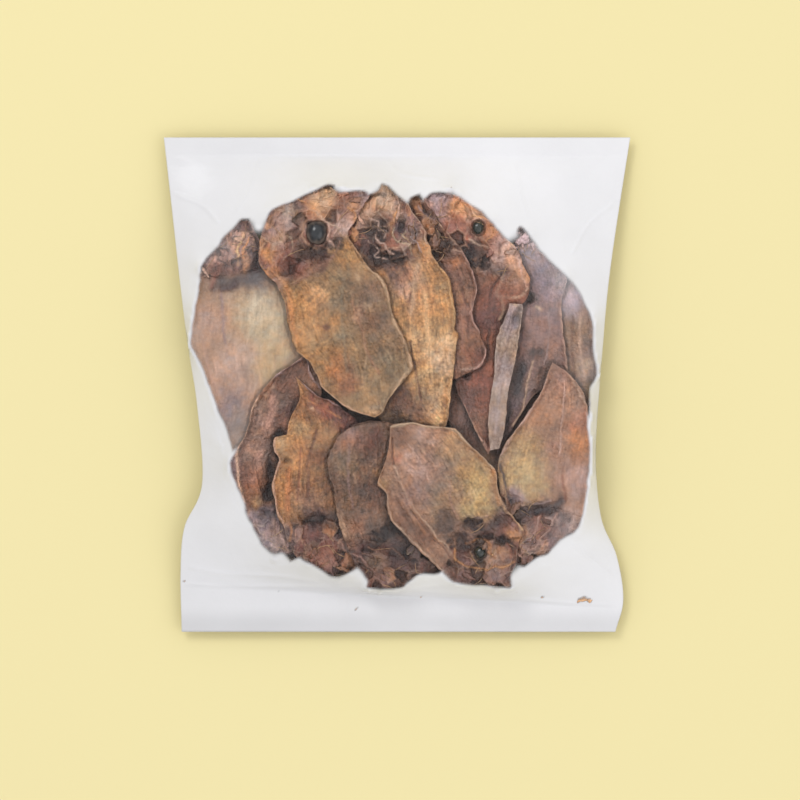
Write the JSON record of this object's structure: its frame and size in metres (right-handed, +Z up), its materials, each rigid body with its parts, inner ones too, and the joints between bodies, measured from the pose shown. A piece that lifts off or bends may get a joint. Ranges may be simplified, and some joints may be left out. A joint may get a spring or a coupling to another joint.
{
  "type": "bag of dried rabbitfish",
  "caption": "Clear sealed pillow bag, drawn in at the waist, filled by a flat round heap of split dried rabbitfish laid in two fans with the heads outwards",
  "frame": {"origin": "On the resting plane, under the middle of the bag's bounding box, as the bag lies flat with its shown side up", "axes": "X across the bag, to the right as seen from above with the head seal away; Y along the bag, from the foot seal to the head seal; Z up, through the bag's thickness"},
  "size_m": [0.235, 0.249, 0.0349],
  "materials": {
    "clear_film": "clear, slightly milky polypropylene film, glossy, with soft folds and flat heat seals",
    "dried_flesh": "dry, fibrous fish flesh, olive gold to orange brown, with pale curled rims",
    "dried_skin": "dry grey-brown fish skin with a faint sheen",
    "dried_head": "dark red-brown dried head with hollows, bone plates and strands",
    "fish_eye": "black, glossy dried eye",
    "fish_bone": "pale tan bone and fin spines"
  },
  "bodies": {
    "root": {"bag": "clear_film"}
  },
  "joints": []
}
